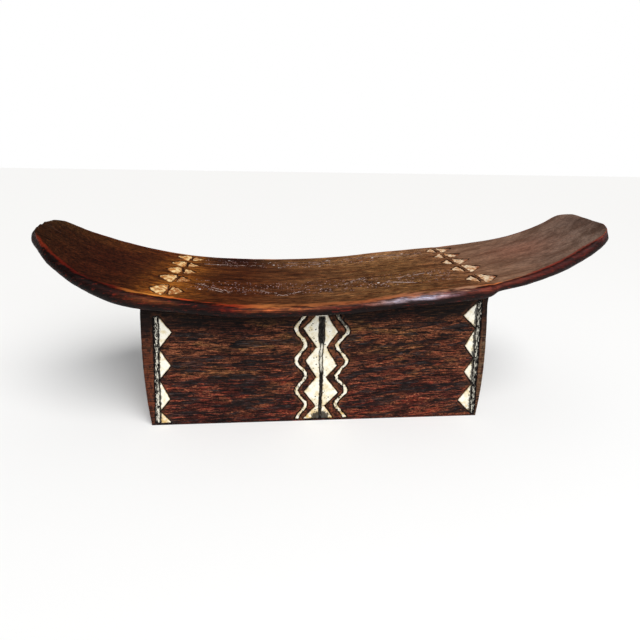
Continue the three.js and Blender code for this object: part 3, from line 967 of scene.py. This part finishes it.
def build_inlays(white, black):
    for node in WHITE_NAMES + LINE_NAMES:
        side = -1 if node.startswith("front") else 1
        face = node.split("_")[0]
        is_line = node in LINE_NAMES
        is_wave = "wave" in node
        mesh, places = kneaded(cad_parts[node].data.copy(), 0.4, 2)
        flat = places[:, [0, 2]].copy()
        outer = side * places[:, 1] > HALF_DEPTH - 0.8
        spot = np.column_stack([flat[:, 0], np.full(len(flat), side * 30.0), flat[:, 1]])
        height = 0.2 * lumps(spot, 5, 61) + 0.1 * lumps(spot, 1.3, 62, 2)
        from_centre = segment_distance(flat, OUTLINES[f"{face}_line_centre"])
        sides = [OUTLINES[f"{face}_line_{hand}"] for hand in ("left", "right")]
        from_sides = np.minimum(*(segment_distance(flat, s) for s in sides))
        rim = segment_distance(flat, OUTLINES[node])
        ragged = lumps(spot, 2.2, 63) * (0.85 if is_wave or is_line else 0.4)
        places[:, 0] += ragged
        places[:, 2] += 0.3 * lumps(spot, 2.4, 66)
        if "diamond" in node:
            waist = (flat[:, 1].min() + flat[:, 1].max()) / 2
            places[:, 2] += 0.65 * np.sign(flat[:, 1] - waist) * ease(np.abs(flat[:, 1] - waist), 8, 12)
        if is_wave:
            thin = lumps(spot, 7, 67, 2) - 0.15
            places[:, 0] += thin * np.tanh(flat[:, 0] - wave_middle(node.split("_")[-1]))
        if abs(places[:, 0].mean()) < 8:
            places[:, 0] = centre_line_shift(places[:, 0], places[:, 2], side)
        if is_line:
            height = -0.2 + 0.3 * lumps(spot, (1.1, 1.1, 2.2), 65)
        sunk = 0.28 + 0.2 * np.exp(-rim / 0.7)
        places[:, 1] += np.where(outer, side * (height - sunk), 0)
        places[:, 2] = np.maximum(places[:, 2], 1.2)
        place_back(mesh, places)
        paint_all(
            mesh,
            soot=np.exp(-from_centre / 1.3) * (not is_line),
            side_soot=np.exp(-from_sides / 2.6) * (not is_line),
            rim=np.exp(-rim / 0.7),
            wave=np.full(len(places), float(is_wave)),
            centre_line=np.full(len(places), float("line_centre" in node)),
        )
        if is_line and "centre" not in node:
            (low_x, low_z), (high_x, high_z) = frame_line(node.split("_")[-1])
            axis = np.interp(flat[:, 1], [low_z, high_z], [low_x, high_x])
            paint(mesh, "inward", ease(np.abs(axis) - np.abs(flat[:, 0]) + 0.5 * ragged, -0.7, 0.5))
        filling = add_object(f"{node}_filled", mesh, black if is_line else white)
        stands_for(filling, node)


def kaolin_material():
    s = Shader("kaolin_rubbed")
    x, _, z = s.split()
    mottle = s.noise((5, 5, 5), 4, 0.6, 0.3)
    grit = s.noise((0.9, 0.9, 0.9), 3, 0.7)
    s.colour = s.mix(s.ramp(mottle, 0.4, 0.7), srgb(240, 236, 222), srgb(222, 208, 172))
    s.over(s.ramp(grit, 0.5, 0.72), srgb(196, 178, 140), 0.35)
    rim = s.read("rim")
    s.over(s.ramp(s.plus(rim, mottle), 0.8, 1.4), srgb(186, 150, 92), 0.75)
    low = s.ramp(z, 14, 3)
    s.over(s.times(low, s.ramp(mottle, 0.4, 0.62)), srgb(206, 170, 104))
    smear = s.noise((1.0, 1.0, 2.6), 4, 0.7, 0.6)
    black = s.ramp(s.plus(s.read("soot"), s.times(smear, 0.8)), 0.92, 1.06)
    low_smear = s.times(s.ramp(z, 12, 5), s.ramp(s.size(x), 12, 3))
    low_smear = s.ramp(s.plus(low_smear, smear), 0.95, 1.15)
    black = s.larger(black, low_smear)
    right_side = s.ramp(x, 100, 105)
    by_side = s.plus(s.read("side_soot"), s.times(smear, s.plus(0.85, s.times(right_side, 0.3))))
    black = s.larger(black, s.ramp(by_side, 0.92, 1.06))
    speckled = s.patches(0.48, 0.56, (7, 7, 7), 2, shift=(2, 0, 6))
    specks = s.times(s.ramp(s.dots((2.3, 2.3, 2.3)), 0.30, 0.18), speckled)
    specks = s.times(specks, s.ramp(s.size(x), 60, 50))
    black = s.larger(black, specks)
    # A dark outline along the filling's edge: dirt, with painted shade where it sits sunk in its recess.
    edge = s.ramp(s.plus(rim, s.times(grit, 0.6)), 1.08, 1.25)
    black = s.larger(black, edge)
    scribble = s.patches(0.56, 0.61, (2.4, 2.4, 6), 4, 0.75, 0.8, (9, 1, 1))
    black = s.larger(black, s.times(s.read("wave"), scribble))
    wave_top = s.times(s.read("wave"), s.ramp(z, 72, 80))
    wave_top = s.times(wave_top, s.ramp(x, 4, 8))
    black = s.larger(black, s.times(wave_top, s.ramp(smear, 0.62, 0.5)))
    s.over(black, srgb(22, 18, 18), 0.93)
    return s.finished(s.minus(0.85, s.times(black, 0.3)), 0.25, s.bump(grit, 0.12, s.bump(mottle, 0.25)))


def pitch_material():
    s = Shader("pitch_cracked")
    crust = s.noise((1.3, 1.3, 2.6), 4, 0.7, 0.5)
    flake = s.noise((1.0, 1.0, 3.4), 4, 0.7, 0.8, (3, 3, 3))
    s.colour = s.mix(s.ramp(crust, 0.48, 0.7), srgb(11, 9, 9), srgb(40, 33, 30))
    side_only = s.minus(1.0, s.read("centre_line"))
    x, y, z = s.split()
    chalky = s.times(side_only, s.minus(0.9, s.times(s.ramp(x, 0, 60), 0.2)))
    low_left = s.times(s.ramp(z, 50, 12), s.ramp(x, -90, -100))
    flake_here = s.plus(flake, s.times(low_left, 0.04))
    flake_here = s.plus(flake_here, s.times(s.read("inward"), 0.07))
    flake_here = s.minus(flake_here, 0.035)
    white = s.times(s.ramp(flake_here, 0.51, 0.57), s.plus(chalky, 0.1))
    split = s.times(s.ramp(z, 67, 64), s.ramp(z, 42, 46))
    split = s.times(split, s.read("centre_line"), s.ramp(flake, 0.60, 0.52))
    s.over(s.larger(white, split), srgb(214, 208, 192))
    return s.finished(s.plus(0.45, s.times(crust, 0.4)), 0.12, s.bump(crust, 0.5))


def board_top_heights():
    """Places along the length and heights of the board's top, on the middle line."""
    share = np.linspace(0, 1, 3000)
    _, _, _, thickness = board_ring(share)
    top = board_place(share, np.zeros(len(share)), thickness / 2)
    return top[:, 0], top[:, 2]


def prism(outline, low, high):
    count = len(outline)
    places = [(*p, low) for p in outline] + [(*p, high) for p in outline]
    low_ring, high_ring = range(count), range(count, 2 * count)
    faces = [tuple(low_ring)[::-1], tuple(high_ring), *strip(low_ring, high_ring)]
    return mesh_from("draft", np.array(places, float), faces)


def build_chips(material):
    top_x, top_z = board_top_heights()
    for node, (row, corners, base, tip) in CHIPS.items():
        mesh, places = kneaded(prism(corners, -1.9, 0.0), 0.4, 3)
        plan = places[:, :2]
        outwards = np.clip((plan[:, 0] - base) / (tip - base), 0, 1)
        rim = segment_distance(plan, closed(corners))
        top = ease(places[:, 2], -1.3, -0.6)
        spot = np.column_stack([plan, np.zeros(len(plan))])
        height = 0.75 * lumps(spot, (4.5, 6, 5), 71) + 0.35 * lumps(spot, (1.7, 1.7, 1.9), 72)
        height += CROWN[row] * ease(rim, 0, 3.5) - 0.3
        if row == "right_outer":
            height -= 0.35 * outwards**2
        places[:, 2] += top * height + np.interp(plan[:, 0], top_x, top_z)
        places[:, :2] += 0.9 * np.column_stack([lumps(spot, 3, 73), lumps(spot, 3, 74)])
        place_back(mesh, places)
        paint_all(
            mesh,
            rim=np.exp(-rim / 0.8),
            outwards=outwards,
            left_row=np.full(len(places), float(row.startswith("left"))),
            inner=np.full(len(places), float(row.endswith("inner"))),
        )
        stands_for(add_object(f"{node}_filled", mesh, material), node)


def chip_material():
    s = Shader("band_fill_caked")
    lump = s.noise((3.4, 3.4, 3.4), 4, 0.6, 0.4)
    grit = s.noise((0.9, 0.9, 0.9), 3, 0.7)
    left = s.read("left_row")
    inner = s.read("inner")
    s.colour = s.mix(left, srgb(228, 204, 172), srgb(232, 198, 142))
    tan = s.mix(left, srgb(180, 128, 84), srgb(176, 112, 48))
    s.over(s.ramp(lump, 0.42, 0.58), tan)
    brown = s.times(left, inner, s.ramp(lump, 0.40, 0.56))
    s.over(brown, srgb(160, 96, 44), 0.85)
    brown = s.times(left, inner, s.ramp(grit, 0.50, 0.62))
    s.over(brown, srgb(110, 60, 26), 0.7)
    # Reddish-brown towards the deeper tips of the right outer row: painted shade.
    deep_tip_shade = s.times(s.minus(1.0, left), s.read("outwards"))
    deep_tip_shade = s.times(deep_tip_shade, s.minus(1.0, inner))
    deep_tip_shade = s.ramp(s.plus(deep_tip_shade, s.times(lump, 0.6)), 0.80, 1.02)
    s.over(deep_tip_shade, srgb(140, 70, 42), 0.85)
    worn = s.ramp(s.plus(s.read("rim"), s.times(lump, 0.9)), 0.72, 1.05)
    s.over(worn, srgb(150, 88, 38), 0.8)
    dark = s.ramp(s.plus(s.read("rim"), s.times(grit, 0.7)), 0.95, 1.25)
    s.over(dark, srgb(46, 22, 12), 0.85)
    pits = s.ramp(grit, 0.62, 0.72)
    s.over(pits, srgb(120, 76, 36), 0.5)
    return s.finished(s.plus(0.6, s.times(grit, 0.25)), 0.3, s.bump(grit, 0.3, s.bump(lump, 0.6)))


# ------ studio
CAMERA_PLACE = (-30.294, -364.126, 203.347)  # mm
CAMERA_DIP, CAMERA_TURN, CAMERA_ROLL = 0.357, 0.091, -0.019  # radians
LENS, SENSOR = 25.875, 36.0  # mm
LIGHT_FROM_ROOM, ROOM_IN_GLOSS = 0.3, 0.06  # strength of the white room, and in reflections
SUN_STRENGTH, SUN_SOFTNESS = 3.0, math.radians(50)
RIM_PLACE, RIM_AIM, RIM_POWER = (0.3, -0.9, 0.5), (0.08, -0.06, 0.1), 2  # m, m, W
FLOOR_REACH = 4000  # mm


def add_camera():
    dip, turn, roll = CAMERA_DIP, CAMERA_TURN, CAMERA_ROLL
    forward = Vector((math.sin(turn) * math.cos(dip), math.cos(turn) * math.cos(dip), -math.sin(dip)))
    level = Vector((math.cos(turn), -math.sin(turn), 0))
    down = forward.cross(level)
    right = math.cos(roll) * level + math.sin(roll) * down
    below = -math.sin(roll) * level + math.cos(roll) * down
    camera = placed("camera", bpy.data.cameras.new("camera"))
    turn_matrix = Matrix((right, -below, -forward)).transposed().to_4x4()
    camera.matrix_world = Matrix.Translation(Vector(CAMERA_PLACE) * MM) @ turn_matrix
    camera.data.sensor_width = SENSOR
    camera.data.lens = LENS
    camera.data.clip_start = 0.01
    bpy.context.scene.camera = camera


def add_lamp(name, kind, power, colour, towards):
    light = bpy.data.lights.new(name, kind)
    light.energy, light.color = power, colour
    lamp = placed(name, light)
    lamp.rotation_mode = "QUATERNION"
    lamp.rotation_quaternion = Vector(towards).to_track_quat("-Z", "Y")
    return lamp


def add_studio():
    corners = FLOOR_REACH * np.array([(-1, -1, 0), (1, -1, 0), (1, 1, 0), (-1, 1, 0)])
    floor = mesh_from("floor", corners, [(0, 1, 2, 3)])
    pale = Shader("pale_floor")
    pale.fill(pale.surface, Base_Color=(0.9, 0.9, 0.9, 1), Roughness=1, Specular_IOR_Level=0)
    add_object("floor", floor, pale.material)

    world = bpy.data.worlds.new("studio")
    bpy.context.scene.world = world
    world.use_nodes = True
    tree = world.node_tree
    background = tree.nodes["Background"]
    rays = tree.nodes.new("ShaderNodeLightPath").outputs
    dimmed = tree.nodes.new("ShaderNodeMapRange")
    tree.links.new(rays["Is Glossy Ray"], dimmed.inputs["Value"])
    dimmed.inputs["To Min"].default_value = LIGHT_FROM_ROOM
    dimmed.inputs["To Max"].default_value = ROOM_IN_GLOSS
    strength = tree.nodes.new("ShaderNodeMath")
    strength.operation = "MAXIMUM"
    tree.links.new(dimmed.outputs["Result"], strength.inputs[0])
    tree.links.new(rays["Is Camera Ray"], strength.inputs[1])
    tree.links.new(strength.outputs[0], background.inputs["Strength"])
    background.inputs["Color"].default_value = (1, 1, 1, 1)
    key = add_lamp("key", "SUN", SUN_STRENGTH, (1, 0.99, 0.97), (-0.35, 0.75, -1))
    key.data.angle = SUN_SOFTNESS
    rim = add_lamp("rim", "AREA", RIM_POWER, (0.85, 0.92, 1), Vector(RIM_AIM) - Vector(RIM_PLACE))
    rim.location = RIM_PLACE
    rim.data.shape = "RECTANGLE"
    rim.data.size, rim.data.size_y = 0.5, 0.2
    bpy.context.scene.view_settings.view_transform = "Standard"


build_board(board_material())
build_block(block_material())
build_inlays(kaolin_material(), pitch_material())
build_chips(chip_material())
add_studio()
add_camera()
